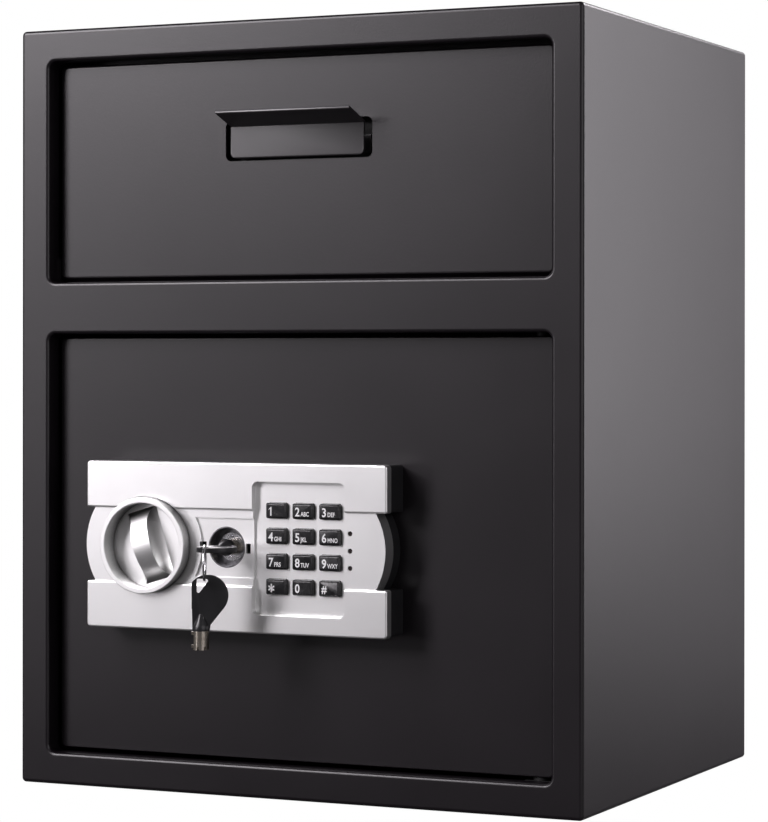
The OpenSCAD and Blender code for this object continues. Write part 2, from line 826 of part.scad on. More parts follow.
module solenoid_body() color(steel_zinc) difference() {
    translate([plunger_x - coil_w / 2, -body_d / 2 - door_back, coil_z])
        cube([coil_w, door_back - bolt_out + coil_w / 2, coil_h]);
    translate([plunger_x, -body_d / 2 - bolt_out, coil_z + 2]) cylinder(h = coil_h, r = plunger_r + run);
}

// Open battery box, closed by the lid in the inner cover
module battery_box() color(black) {
    wide = battery_len + 4;
    high = 4 * battery_dz + 2;
    deep = 2 * battery_r + 2;
    difference() {
        layer(cover_back + cover_t, cover_back + cover_t + deep + box_wall)
            translate([battery_x, battery_z]) rounded(wide + 2 * box_wall, high + 2 * box_wall, 3);
        layer(cover_back, cover_back + cover_t + deep) translate([battery_x, battery_z]) rounded(wide, high, 2);
    }
}

module batteries() color([0.12, 0.12, 0.13]) for (k = [0:3]) {
    way = k % 2 == 0 ? 1 : -1;
    translate([battery_x, -body_d / 2 - cover_back - cover_t - battery_r - 1.8, battery_z + (k - 1.5) * battery_dz])
        rotate([0, 90 * way, 0]) {
            translate([0, 0, -battery_len / 2]) cylinder(h = battery_len - 1.4, r = battery_r);
            translate([0, 0, battery_len / 2 - 1.4]) cylinder(h = 1.4, r = 2.7);
        }
}

module cylinder_body() color(steel_zinc) difference() {
    layer(cyl_back, cyl_face) translate([cyl_x, panel_z]) circle(cylinder_r);
    layer(cyl_back - 1, cyl_face + 1) translate([cyl_x, panel_z]) circle(plug_r + run);
    layer(cyl_face - 4, cyl_face + 1) translate([cyl_x - 1.3, panel_z + plug_r - 1]) square([2.6, 2.6]);
}

// Dark cup that lines the bore around the lock cylinder
module cylinder_cup() color([0.25, 0.25, 0.26]) difference() {
    floor_out = cyl_face - 0.3;
    layer(floor_out - cup_sheet, band_out - cover_recess) translate([cyl_x, panel_z]) circle(cup_r);
    layer(floor_out, bar_out) translate([cyl_x, panel_z]) circle(cup_r - cup_sheet);
    layer(floor_out - cup_sheet - 1, bar_out) translate([cyl_x, panel_z]) circle(cylinder_r + run);
}

module cylinder_nut() color(steel_zinc) layer(door_back - 4, door_back) translate([cyl_x, panel_z]) difference() {
    circle(r = cylinder_r + 4, $fn = 6);
    circle(cylinder_r + run);
}

// Knob and bolt work

// Ring-shaped knob with a sunk dish and a waisted grip bar that arches out of it
module knob() color(silver) on_face() translate([knob_x, panel_z, 0]) {
    rim_low = band_out + 0.4;
    bar_h = ring_front - dish_floor;
    top_w = grip_crown_w / 2;
    foot_w = grip_foot_w / 2;
    chord = [foot_w - top_w, -bar_h];
    flank_mid = [(foot_w + top_w) / 2, dish_floor + bar_h / 2];
    reach = sqrt(flank_r * flank_r - norm(chord) * norm(chord) / 4) / norm(chord);
    flank_at = flank_mid + reach * [bar_h, foot_w - top_w];
    rotate_extrude() {
        translate([0, knob_back]) square([skirt_r, knob_sheet]);
        translate([knob_r - ring_wall, knob_back]) square([skirt_r - knob_r + ring_wall, knob_h]);
        translate([knob_r - ring_wall, rim_low]) square([ring_wall, ring_front - rim_low - ring_ease]);
        translate([knob_r - ring_wall + ring_ease, ring_front - 2 * ring_ease])
            square([ring_wall - 2 * ring_ease, 2 * ring_ease]);
        for (x = [knob_r - ring_wall + ring_ease, knob_r - ring_ease]) {
            translate([x, ring_front - ring_ease]) circle(ring_ease);
        }
        translate([0, knob_back]) square([dish_r, dish_floor - knob_back]);
    }
    intersection() {
        rotate([0, 0, grip_tilt]) rotate([90, 0, 0]) linear_extrude(2 * dish_r, center = true) difference() {
            translate([-foot_w - 2, dish_floor - 1]) square([2 * foot_w + 4, bar_h + 1.5]);
            for (s = [-1, 1]) {
                translate([s * flank_at[0], flank_at[1]]) circle(flank_r);
            }
        }
        rotate([0, 0, grip_tilt]) translate([0, 0, ring_front - crown_r]) rotate([0, 90, 0])
            cylinder(h = 2 * knob_r, r = crown_r, center = true);
        translate([0, 0, dish_floor - 0.5]) cylinder(h = ring_front, r = dish_r - 0.5);
    }
}

// Spindle with the crank that moves the bolts, at rest 45 degrees from upright
module knob_spindle() color(steel_zinc) translate([knob_x, 0, panel_z]) {
    layer(crank_out - crank_t, knob_back) circle(spindle_r);
    layer(crank_out - crank_t, crank_out) {
        circle(spindle_r + 4);
        rotate(45) translate([0, -crank_pin_r - 2]) square([crank_r, 2 * crank_pin_r + 4]);
        rotate(45) translate([crank_r, 0]) circle(crank_pin_r + 2);
    }
    layer(carriage_out - 2, crank_out - crank_t) rotate(45) translate([crank_r, 0]) circle(crank_pin_r);
}

// Plate that joins both bolts, with the crank's slot and the tab that the solenoid blocks
module bolt_carriage() color(steel_zinc) {
    right = crank_x + crank_pin_r + 12;
    high = 2 * bolt_dz + 2 * bolt_r;
    slot_w = 2 * (crank_pin_r + slot_play);
    slot_low = crank_r * sin(45) - crank_pin_r - 1;
    slot_high = crank_r + crank_pin_r + 1;
    arm_z = coil_z + coil_h + 11;
    layer(carriage_out, carriage_out + plate_t) difference() {
        union() {
            translate([bolt_end_x, panel_z - high / 2]) square([right - bolt_end_x, high]);
            translate([right - 2, arm_z]) square([plunger_x + 8 - right + 2, 8]);
            translate([plunger_x + 8 - tab_w, arm_z - 8]) square([tab_w, 9]);
        }
        translate([crank_x - slot_w / 2, panel_z + slot_low]) square([slot_w, slot_high - slot_low]);
        translate([bolt_end_x + lug_plate + 6, panel_z - bolt_dz + bolt_r + 6])
            square([right - bolt_end_x - lug_plate - 14, bolt_dz - bolt_r - 14]);
    }
    for (s = [-1, 1]) {
        layer(bolt_out - bolt_r - 1, bolt_out + bolt_r + 1)
            translate([bolt_end_x, panel_z + s * bolt_dz - bolt_r]) square([lug_plate, 2 * bolt_r]);
    }
}

module locking_bolts() color(steel_zinc) for (s = [-1, 1]) {
    translate([bolt_tip_x, -body_d / 2 - bolt_out, panel_z + s * bolt_dz]) rotate([0, 90, 0]) {
        translate([0, 0, 1]) cylinder(h = bolt_len - 1, r = bolt_r);
        cylinder(h = 1, r1 = bolt_r - 1, r2 = bolt_r);
    }
}

module solenoid_plunger() color(steel_zinc) translate([plunger_x, -body_d / 2 - bolt_out, 0]) {
    translate([0, 0, coil_z + 3]) cylinder(h = coil_h - 1, r = plunger_r);
    translate([0, 0, coil_z + coil_h + 0.2]) cylinder(h = 1, r = plunger_r + 1);
}

// Override lock and keys

module cylinder_plug() color(steel_zinc) translate([cyl_x, 0, panel_z]) difference() {
    layer(cyl_back, cyl_face - 0.5) circle(plug_r);
    layer(key_out - barrel_len - 0.5, cyl_face + 1) {
        difference() {
            circle(barrel_r + 0.1);
            circle(barrel_in_r - 0.1);
        }
        translate([-barrel_r - nib[0] - 0.2, -nib[1] / 2 - 0.1]) square([nib[0] + 0.6, nib[1] + 0.2]);
    }
}

module lock_cam() color(steel_zinc) layer(cyl_back - 2.5, cyl_back) translate([cyl_x, panel_z]) {
    circle(plug_r);
    translate([-4, -22]) square([8, 22]);
    translate([0, -22]) circle(4);
}

// Outline of the lopsided teardrop head; the barrel's axis is x = 0 and it starts at y = 0
module head_outline() {
    ease_x = head_left + shoulder_r;
    ease_y = head_mid[1] + sqrt(pow(head_r - shoulder_r, 2) - pow(head_mid[0] - ease_x, 2));
    beyond = ([ease_x, ease_y] - head_mid) * 3;
    difference() {
        translate(head_mid) circle(head_r);
        translate([head_left - 2 * head_r, 0]) square([2 * head_r, 4 * head_r]);
        difference() {
            polygon([
                [ease_x, ease_y],
                [head_left - 1, ease_y],
                [head_left - 1, ease_y + beyond[1]],
                [ease_x, ease_y] + beyond
            ]);
            translate([ease_x, ease_y]) circle(shoulder_r);
        }
    }
    polygon([
        [head_left + 0.5, 0],
        [neck_r, 0],
        [neck_r + 0.6, 3.8],
        head_mid + head_r * [cos(34), -sin(34)],
        head_mid,
        [head_left, head_mid[1] + 4]
    ]);
}

// Three-cornered hole for the ring
module head_hole() {
    polygon(hole_corners);
    strip([hole_corners[0], hole_corners[1], hole_corners[2], hole_corners[0]], 2 * hole_r);
}

// Key head lying in the plane z = 0, barrel end at y = 0
module head_solid() difference() {
    union() {
        translate([0, 0, -head_t / 2]) linear_extrude(head_t) head_outline();
        rotate([-90, 0, 0]) cylinder(h = neck_len, r = neck_r);
        translate([0, neck_len, 0]) rotate([-90, 0, 0]) cylinder(h = 8.2, r1 = neck_r, r2 = head_t / 2);
    }
    translate([0, 0, -head_t]) linear_extrude(2 * head_t) head_hole();
}

// Tubular barrel with seven notches round its tip and the two nibs that hold it in the lock
module barrel_solid() {
    rotate([90, 0, 0]) difference() {
        cylinder(h = barrel_len, r = barrel_r);
        translate([0, 0, 1.5]) cylinder(h = barrel_len, r = barrel_in_r);
        for (k = [0:6]) {
            rotate([0, 0, 110 + 360 * k / 7])
                translate([barrel_in_r - 1, -tip_notch[0] / 2, barrel_len - tip_notch[1]])
                cube([barrel_r, tip_notch[0], tip_notch[1] + 1]);
        }
    }
    for (y = [-2.4, -10.6]) {
        translate([-barrel_r - nib[0], y, -nib[1] / 2]) cube([nib[0] + 0.6, nib[1], nib[1]]);
    }
}

// Puts a key into the lock, its head level
module in_lock() {
    translate([cyl_x, -body_d / 2 - key_out, panel_z]) mirror([0, 1, 0]) children();
}

module key_barrel() color([0.72, 0.69, 0.62]) in_lock() barrel_solid();

module key_head() color(black) in_lock() head_solid();

// Puts its children at the ring's centre, turned so that the ring's plane is across x
module at_ring() {
    translate([cyl_x + ring_u, -body_d / 2 - key_out - ring_w, ring_z]) rotate([0, 0, ring_turn]) children();
}

module key_ring() color(steel_zinc) at_ring() rotate([0, 90, 0]) rotate_extrude() translate([ring_r, 0]) circle(wire_r);

// Hangs the spare key on the ring's lowest point
module on_ring() {
    at_ring() translate([-hang_u, 0, -ring_r + wire_r + seat - hole_top]) rotate([90, 0, 0]) children();
}

module spare_key_head() color(black) on_ring() head_solid();

module spare_key_barrel() color([0.72, 0.69, 0.62]) on_ring() barrel_solid();

// Small moving pieces

module battery_lid() color(black) {
    wide = battery_len + 10;
    high = 4 * battery_dz + 8;
    layer(cover_back - 2, cover_back) translate([battery_x, battery_z]) rounded(wide, high, 3);
    layer(cover_back - 3.5, cover_back - 2) for (k = [-1:1]) {
        translate([battery_x + wide / 2 - 12 + 3 * k, battery_z]) square([1.5, 24], center = true);
    }
}

module reset_button() color([0.65, 0.10, 0.08]) {
    layer(cover_back - 2, cover_back + 8) translate([reset_x, reset_z]) circle(reset_r);
    layer(cover_back + cover_t + 0.2, cover_back + cover_t + 1.2) translate([reset_x, reset_z]) circle(reset_r + 2);
}

// One key of the keypad, by column and row from the top left
module pad_key(column, row) color(black) {
    top = pad_floor + key_proud;
    low = pad_floor - pad_sheet - 0.2 - flange_t;
    translate([keys_x + (column - 1) * key_dx, 0, panel_z + (1.5 - row) * key_dz]) {
        eased_plate(key_w, key_h, 1.3, top - low - flange_t, top, 1.1, flat = true);
        layer(low, low + flange_t) rounded(key_w + 1.8, key_h + 1.8, 1.2);
    }
}

module key_1() pad_key(0, 0);
module key_2() pad_key(1, 0);
module key_3() pad_key(2, 0);
module key_4() pad_key(0, 1);
module key_5() pad_key(1, 1);
module key_6() pad_key(2, 1);
module key_7() pad_key(0, 2);
module key_8() pad_key(1, 2);
module key_9() pad_key(2, 2);
module key_star() pad_key(0, 3);
module key_0() pad_key(1, 3);
module key_hash() pad_key(2, 3);

cabinet_wrap();
front_frame();
back_panel();
deposit_baffle();
chute_guard();
guard_bumpers();
drawer_brackets();
bolt_keeper();
door_hinge_blocks();
drawer_front();
grip_plate();
grip_pan();
drawer_side_left();
drawer_side_right();
tray_floor();
drawer_pivot_pins();
door_plate();
door_hinge_lugs();
door_hinge_pins();
bolt_guide();
inner_cover();
cover_screws();
lock_housing();
lock_fascia();
led_lenses();
keypad_mat();
control_board();
solenoid_body();
battery_box();
batteries();
cylinder_body();
cylinder_cup();
cylinder_nut();
knob();
knob_spindle();
bolt_carriage();
locking_bolts();
solenoid_plunger();
cylinder_plug();
lock_cam();
key_barrel();
key_head();
key_ring();
spare_key_head();
spare_key_barrel();
battery_lid();
reset_button();
key_1();
key_2();
key_3();
key_4();
key_5();
key_6();
key_7();
key_8();
key_9();
key_star();
key_0();
key_hash();
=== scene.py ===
"""Finishes, fittings, lights and camera for a drop safe with a tilt-out deposit drawer."""

import json
import math

import bmesh
import bpy
from bpy.props import FloatProperty, FloatVectorProperty, IntProperty, PointerProperty
from mathutils import Matrix, Vector


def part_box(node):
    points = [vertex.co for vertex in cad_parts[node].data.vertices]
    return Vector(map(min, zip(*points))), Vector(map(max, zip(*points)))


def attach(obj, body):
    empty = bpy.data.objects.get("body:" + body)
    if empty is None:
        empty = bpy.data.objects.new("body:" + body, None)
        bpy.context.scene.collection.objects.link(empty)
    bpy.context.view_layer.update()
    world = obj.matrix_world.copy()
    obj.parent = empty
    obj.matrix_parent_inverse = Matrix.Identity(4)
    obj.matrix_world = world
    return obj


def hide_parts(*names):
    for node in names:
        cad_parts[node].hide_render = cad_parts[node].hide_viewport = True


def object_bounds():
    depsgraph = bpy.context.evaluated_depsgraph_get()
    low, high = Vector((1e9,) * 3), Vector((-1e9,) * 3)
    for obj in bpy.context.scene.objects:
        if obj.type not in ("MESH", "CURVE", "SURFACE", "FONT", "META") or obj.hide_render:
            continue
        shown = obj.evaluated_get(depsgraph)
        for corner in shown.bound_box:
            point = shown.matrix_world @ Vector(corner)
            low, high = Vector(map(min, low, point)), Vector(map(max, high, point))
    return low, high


bl_info = {
    "name": "Drop Safe Dresser",
    "version": (1, 0, 0),
    "blender": (4, 5, 0),
    "location": "3D View > Sidebar > Drop Safe",
    "description": "Dresses the packed drop safe with finishes, printed legends, screws and a studio",
    "category": "Object",
}

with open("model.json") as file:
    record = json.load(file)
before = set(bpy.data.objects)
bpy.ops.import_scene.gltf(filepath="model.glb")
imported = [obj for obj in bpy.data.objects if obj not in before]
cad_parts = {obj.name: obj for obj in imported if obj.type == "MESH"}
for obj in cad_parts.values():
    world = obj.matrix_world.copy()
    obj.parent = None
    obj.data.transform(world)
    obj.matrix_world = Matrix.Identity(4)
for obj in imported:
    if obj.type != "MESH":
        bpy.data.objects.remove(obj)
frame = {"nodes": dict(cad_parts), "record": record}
CAD_LOW, CAD_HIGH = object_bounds()
MM = 0.001

# The photograph's camera, solved from the cabinet's edges: its place in metres, its angles in
# radians, its lens and sensor in millimetres, and its shift in widths of the picture
CAMERA_AT = (0.8334, -1.8176, 0.2794)
CAMERA_YAW = 0.4325
CAMERA_PITCH = -0.0019
CAMERA_ROLL = -0.0009
CAMERA_LENS = 127.35
CAMERA_SENSOR = 36.0
CAMERA_SHIFT = (-0.00325, -0.0517)
CAMERA_NEAR = 0.05

# The studio: lengths and places in metres, tones and strengths from 0 to 1
FLOOR_HALF = 6.0
FLOOR_DROP = 0.2 * MM
FLOOR_TONE = (0.12, 0.12, 0.12)
AMBIENT = 0.04
LAMP_TINT = (1.0, 0.952, 1.0)
BEHIND_THE_SAFE = (0.6, 0.8, 0.0)

# The number or sign on each key, and the letters beside it, as on a telephone's keypad
KEY_MARKS = {
    "key_1": ("1", ""),
    "key_2": ("2", "ABC"),
    "key_3": ("3", "DEF"),
    "key_4": ("4", "GHI"),
    "key_5": ("5", "JKL"),
    "key_6": ("6", "MNO"),
    "key_7": ("7", "PRS"),
    "key_8": ("8", "TUV"),
    "key_9": ("9", "WXY"),
    "key_star": ("*", ""),
    "key_0": ("0", ""),
    "key_hash": ("#", ""),
}

# How far the print starts from a key's left edge, and the points along each of its curves
PRINT_SIDE = 3.2 * MM
PRINT_CURVE_STEPS = 3

# In digit sizes: the drop of a digit's foot below the key's middle, the letters' shift to the right
# of the digit, the size and lift of the signs, the stroke at the head of the 1, and the boldness
PRINT_DROP = 0.40
WORD_SHIFT = 0.52
SIGN_SIZES = {"*": 1.45, "#": 0.88}
SIGN_LIFTS = {"*": -0.42, "#": 0.06}
FLAG_INSET = 0.03
FLAG_STROKE = 0.085
FLAG_REACH = 0.17
PRINT_BOLDNESS = 0.018

# The screw heads: their sides, the cross's length and width in head radii, and how far its middle
# stands above the head's middle in head heights
HEAD_SIDES = 40
SLOT_LENGTH = 1.25
SLOT_WIDTH = 0.24
SLOT_LIFT = 0.45

# Parts with eased edges: their finish, and their easing in times the panel's setting
EASED_NODES = {
    "key_head": ("key_head_moulding", 1.8),
    "spare_key_head": ("key_head_moulding", 1.8),
    "grip_plate": ("pull_coat", 1.2),
}
KEY_EASING = 0.9
KEY_EASING_STEPS = 2

# Meshes: the distance at which vertices are merged, and the angles in degrees below which faces
# count as flat, above which an edge is eased, and above which a finished edge stays crisp
WELD = 0.001 * MM
FLAT_ANGLE = 0.5
SHARP_ANGLE = 25.0
EASED_SMOOTH_ANGLE = 40.0
SCREW_SMOOTH_ANGLE = 35.0

# The knob's painted shade: the reach of the shading, the openness that is darkest and that is full
# silver, the same for the normal's Y, which is -1 at the front, and the silver left at darkest
KNOB_SHADE_REACH = 12.0 * MM
KNOB_OPENNESS = (0.45, 1.0)
KNOB_FACING = (-0.40, -0.80)
KNOB_DARKEST = 0.04

NODES_BY_FINISH = {
    "powder_coat": (
        "cabinet_wrap", "front_frame", "back_panel", "deposit_baffle", "chute_guard",
        "drawer_front", "grip_plate", "door_plate", "inner_cover", "drawer_brackets",
        "bolt_keeper", "drawer_side_left", "drawer_side_right", "tray_floor", "drawer_pivot_pins",
    ),
    "shadow_black": ("grip_pan", "door_hinge_blocks", "door_hinge_lugs", "door_hinge_pins"),
    "zinc_plate": (
        "bolt_guide", "solenoid_body", "solenoid_plunger", "knob_spindle",
        "bolt_carriage", "locking_bolts", "lock_cam", "cylinder_nut",
    ),
    "rubber": ("guard_bumpers", "keypad_mat"),
    "black_moulding": ("lock_housing", "battery_box", "battery_lid"),
    "silver_lacquer": ("lock_fascia",),
    "satin_chrome": ("knob",),
    "dark_lens": ("led_lenses",),
    "circuit_board": ("control_board",),
    "battery_wrap": ("batteries",),
    "bright_chrome": ("cylinder_body", "cylinder_plug", "key_ring"),
    "dark_cup": ("cylinder_cup",),
    "key_nickel": ("key_barrel", "spare_key_barrel"),
    "red_moulding": ("reset_button",),
    "key_head_moulding": ("key_head", "spare_key_head"),
    "key_cap_moulding": tuple(KEY_MARKS),
}


class SafeFinish(bpy.types.PropertyGroup):
    """Colours and surface of the safe's finishes"""

    paint_dark: FloatVectorProperty(
        name="Paint, dark", description="Darker tone of the powder coat",
        subtype="COLOR", size=3, min=0, max=1, default=(0.0042, 0.0026, 0.0042),
    )
    paint_light: FloatVectorProperty(
        name="Paint, light", description="Lighter tone of the powder coat",
        subtype="COLOR", size=3, min=0, max=1, default=(0.0056, 0.0038, 0.0056),
    )
    paint_roughness: FloatProperty(
        name="Paint roughness", description="Roughness of the powder coat",
        min=0, max=1, default=0.35,
    )
    silver: FloatVectorProperty(
        name="Silver lacquer", description="Colour of the lock panel and the knob",
        subtype="COLOR", size=3, min=0, max=1, default=(0.97, 0.975, 0.965),
    )
    plastic: FloatVectorProperty(
        name="Black plastic", description="Colour of the black mouldings",
        subtype="COLOR", size=3, min=0, max=1, default=(0.012, 0.012, 0.013),
    )
    print_white: FloatVectorProperty(
        name="Printed white", description="Colour of the numbers on the keys",
        subtype="COLOR", size=3, min=0, max=1, default=(0.85, 0.85, 0.85),
    )


class SafeDetail(bpy.types.PropertyGroup):
    """Sizes of the small parts that are added to the safe"""

    digit_height: FloatProperty(
        name="Digit size", description="Type size of the numbers on the keys",
        unit="LENGTH", min=0.002, max=0.012, default=7.8 * MM,
    )
    letter_height: FloatProperty(
        name="Letter size", description="Type size of the letters on the keys",
        unit="LENGTH", min=0.001, max=0.006, default=4.0 * MM,
    )
    digit_width: FloatProperty(
        name="Digit width", description="Width of the numbers against their usual width",
        min=0.5, max=1.2, default=0.88,
    )
    letter_width: FloatProperty(
        name="Letter width", description="Width of the letters against their usual width",
        min=0.5, max=1.2, default=0.76,
    )
    print_depth: FloatProperty(
        name="Print depth", description="How far the print stands on the keys",
        unit="LENGTH", min=0.00001, max=0.0005, default=0.04 * MM,
    )
    screw_radius: FloatProperty(
        name="Screw head radius", description="Radius of the cover's screw heads",
        unit="LENGTH", min=0.002, max=0.006, default=3.8 * MM,
    )
    screw_height: FloatProperty(
        name="Screw head height", description="Height of the cover's screw heads",
        unit="LENGTH", min=0.001, max=0.004, default=2.4 * MM,
    )
    easing: FloatProperty(
        name="Edge easing", description="Radius worn onto the mouldings' edges",
        unit="LENGTH", min=0.0001, max=0.002, default=0.5 * MM,
    )
    easing_steps: IntProperty(
        name="Easing steps", description="Facets across an eased edge", min=1, max=6, default=3,
    )


def finish_settings():
    """The panel's colours and surface."""
    return bpy.context.scene.safe_finish


def detail_settings():
    """The panel's sizes of small parts."""
    return bpy.context.scene.safe_detail


# Materials

def new_material(name):
    """A material with an empty Principled shader; returns it with its nodes, links and shader."""
    material = bpy.data.materials.new(name)
    material.use_nodes = True
    nodes, links = material.node_tree.nodes, material.node_tree.links
    nodes.clear()
    output = nodes.new("ShaderNodeOutputMaterial")
    shader = nodes.new("ShaderNodeBsdfPrincipled")
    links.new(shader.outputs["BSDF"], output.inputs["Surface"])
    return material, nodes, links, shader


def add_noise(nodes, links, scale, detail=2.0, stretch=(1, 1, 1)):
    """Noise in object space, in features per metre; returns its factor socket."""
    coords = nodes.new("ShaderNodeTexCoord")
    mapping = nodes.new("ShaderNodeMapping")
    mapping.inputs["Scale"].default_value = stretch
    noise = nodes.new("ShaderNodeTexNoise")
    noise.inputs["Scale"].default_value = scale
    noise.inputs["Detail"].default_value = detail
    links.new(coords.outputs["Object"], mapping.inputs["Vector"])
    links.new(mapping.outputs["Vector"], noise.inputs["Vector"])
    return noise.outputs["Fac"]


def add_ramp(nodes, links, shader, factor, colours, positions):
    """Blends two colours by a factor into the base colour."""
    ramp = nodes.new("ShaderNodeValToRGB")
    for element, colour, position in zip(ramp.color_ramp.elements, colours, positions):
        element.position = position
        element.color = (*colour, 1)
    links.new(factor, ramp.inputs["Fac"])
    links.new(ramp.outputs["Color"], shader.inputs["Base Color"])


def vary_roughness(nodes, links, shader, factor, low, high):
    """Spreads the roughness between two values by a noise factor."""
    span = nodes.new("ShaderNodeMapRange")
    span.inputs["To Min"].default_value = low
    span.inputs["To Max"].default_value = high
    links.new(factor, span.inputs["Value"])
    links.new(span.outputs["Result"], shader.inputs["Roughness"])


def add_bump(nodes, links, shader, factor, depth):
    """Turns a noise factor into a relief of that depth, in metres."""
    bump = nodes.new("ShaderNodeBump")
    bump.inputs["Strength"].default_value = 1.0
    bump.inputs["Distance"].default_value = depth
    links.new(factor, bump.inputs["Height"])
    links.new(bump.outputs["Normal"], shader.inputs["Normal"])


def surface(name, tones, tone_scale, rough, grain=None, metallic=0.0, stretch=(1, 1, 1), **sockets):
    """A finish of two close tones with uneven gloss; grain is its features per metre and depth."""
    material, nodes, links, shader = new_material(name)
    tone = add_noise(nodes, links, tone_scale, 3.0, stretch)
    add_ramp(nodes, links, shader, tone, tones, (0.35, 0.65))
    vary_roughness(nodes, links, shader, tone, *rough)
    shader.inputs["Metallic"].default_value = metallic
    for socket, value in sockets.items():
        shader.inputs[socket.replace("_", " ")].default_value = value
    if grain:
        scale, depth = grain
        add_bump(nodes, links, shader, add_noise(nodes, links, scale, 2.0, stretch), depth)
    return material


def scaled(colour, factor):
    """A colour made lighter or darker, kept within 1."""
    return tuple(min(1.0, c * factor) for c in colour)


def powder_coat():
    """The dark, finely textured paint of the sheet metal."""
    look = finish_settings()
    return surface(
        "powder_coat", (tuple(look.paint_dark), tuple(look.paint_light)), tone_scale=9.0,
        rough=(look.paint_roughness - 0.03, look.paint_roughness + 0.03), grain=(700.0, 0.03 * MM),
    )


def pull_coat():
    """The same paint on the drawer's pull, glossier and with painted light: a lighter tone for the
    brighter light that the pull's face catches.
    """
    paint = tuple(finish_settings().paint_light)
    return surface(
        # Painted light: the second tone is 1.3 times lighter than the powder coat's
        "pull_coat", (paint, scaled(paint, 1.3)), tone_scale=30.0, rough=(0.40, 0.45),
        grain=(700.0, 0.02 * MM), IOR=1.75, Specular_IOR_Level=0.8,
    )


def shadow_black():
    """Matt black for the pan behind the pull and for the hinges in the door's gap."""
    return surface(
        "shadow_black", ((0.003, 0.003, 0.003), (0.005, 0.005, 0.005)), tone_scale=90.0,
        rough=(0.6, 0.7), grain=(700.0, 0.02 * MM),
    )


def zinc_plate():
    """Brushed zinc on the bolt work, the solenoid and the screws."""
    return surface(
        "zinc_plate", ((0.50, 0.51, 0.53), (0.60, 0.61, 0.63)), tone_scale=60.0,
        rough=(0.30, 0.42), grain=(900.0, 0.01 * MM), metallic=1.0, stretch=(1, 1, 6),
    )


def rubber():
    """Matt rubber of the bumpers and the keypad's mat."""
    return surface(
        "rubber", ((0.010, 0.010, 0.011), (0.016, 0.016, 0.017)), tone_scale=120.0,
        rough=(0.6, 0.75), grain=(1500.0, 0.02 * MM),
    )


def black_moulding():
    """Satin black plastic of the lock's housing and the battery box."""
    plastic = tuple(finish_settings().plastic)
    return surface(
        "black_moulding", (plastic, scaled(plastic, 1.4)), tone_scale=80.0,
        rough=(0.36, 0.44), grain=(1200.0, 0.01 * MM),
    )


def key_head_moulding():
    """The slightly smoother black plastic of the key heads."""
    plastic = tuple(finish_settings().plastic)
    return surface(
        "key_head_moulding", (plastic, scaled(plastic, 1.3)), tone_scale=90.0,
        rough=(0.28, 0.34), grain=(1400.0, 0.006 * MM),
    )


def key_cap_moulding():
    """The smooth black plastic of the twelve keys."""
    return surface(
        "key_cap_moulding", ((0.010, 0.010, 0.011), (0.018, 0.018, 0.019)), tone_scale=260.0,
        rough=(0.22, 0.3),
    )


def red_moulding():
    """The red plastic of the reset button."""
    return surface(
        "red_moulding", ((0.28, 0.02, 0.015), (0.36, 0.03, 0.02)), tone_scale=200.0,
        rough=(0.35, 0.45),
    )


def silver_lacquer():
    """The lock panel's bright silver."""
    silver = tuple(finish_settings().silver)
    return surface(
        "silver_lacquer", (scaled(silver, 0.98), silver), tone_scale=25.0,
        rough=(0.33, 0.37), grain=(1600.0, 0.004 * MM), metallic=0.93,
    )


def satin_chrome():
    """The knob's satin silver, with painted shade that darkens its walls where they meet the floor of
    its dish and where they turn from the front.
    """
    silver = tuple(finish_settings().silver)
    material, nodes, links, shader = new_material("satin_chrome")
    shader.inputs["Metallic"].default_value = 1.0
    vary_roughness(nodes, links, shader, add_noise(nodes, links, 40.0, 3.0), 0.38, 0.42)
    add_bump(nodes, links, shader, add_noise(nodes, links, 1600.0), 0.003 * MM)
    # Painted shade: the silver darkens in hollows, by ambient occlusion, and on faces turned from the
    # front
    hollow = nodes.new("ShaderNodeAmbientOcclusion")
    hollow.samples = 8
    hollow.inputs["Distance"].default_value = KNOB_SHADE_REACH
    coords, parts = nodes.new("ShaderNodeTexCoord"), nodes.new("ShaderNodeSeparateXYZ")
    links.new(coords.outputs["Normal"], parts.inputs["Vector"])
    unshaded_share = nodes.new("ShaderNodeMath")
    unshaded_share.operation = "MAXIMUM"
    sources = (hollow.outputs["AO"], parts.outputs["Y"])
    for source, (dark, full), socket in zip(sources, (KNOB_OPENNESS, KNOB_FACING), unshaded_share.inputs):
        share = nodes.new("ShaderNodeMapRange")
        share.inputs["From Min"].default_value = dark
        share.inputs["From Max"].default_value = full
        links.new(source, share.inputs["Value"])
        links.new(share.outputs["Result"], socket)
    # Painted shade: from the darkest, shaded silver to the full silver
    tones = (scaled(silver, KNOB_DARKEST), silver)
    add_ramp(nodes, links, shader, unshaded_share.outputs["Value"], tones, (0.0, 1.0))
    return material


def bright_chrome():
    """Polished metal of the lock cylinder and the key ring."""
    return surface(
        "bright_chrome", ((0.74, 0.74, 0.76), (0.82, 0.82, 0.84)), tone_scale=150.0,
        rough=(0.16, 0.26), metallic=1.0,
    )


def dark_cup():
    """Dark spun metal of the cup round the lock cylinder."""
    return surface(
        "dark_cup", ((0.10, 0.10, 0.105), (0.24, 0.24, 0.25)), tone_scale=260.0,
        rough=(0.28, 0.4), metallic=0.9, stretch=(1, 6, 1),
    )


def key_nickel():
    """Warm nickel on the brass barrels of the two keys."""
    return surface(
        "key_nickel", ((0.56, 0.50, 0.41), (0.68, 0.63, 0.55)), tone_scale=180.0,
        rough=(0.16, 0.26), metallic=1.0, stretch=(1, 1, 3),
    )


def dark_lens():
    """The tinted lenses of the three indicators."""
    return surface(
        "dark_lens", ((0.02, 0.015, 0.015), (0.035, 0.025, 0.025)), tone_scale=300.0,
        rough=(0.1, 0.16),
    )


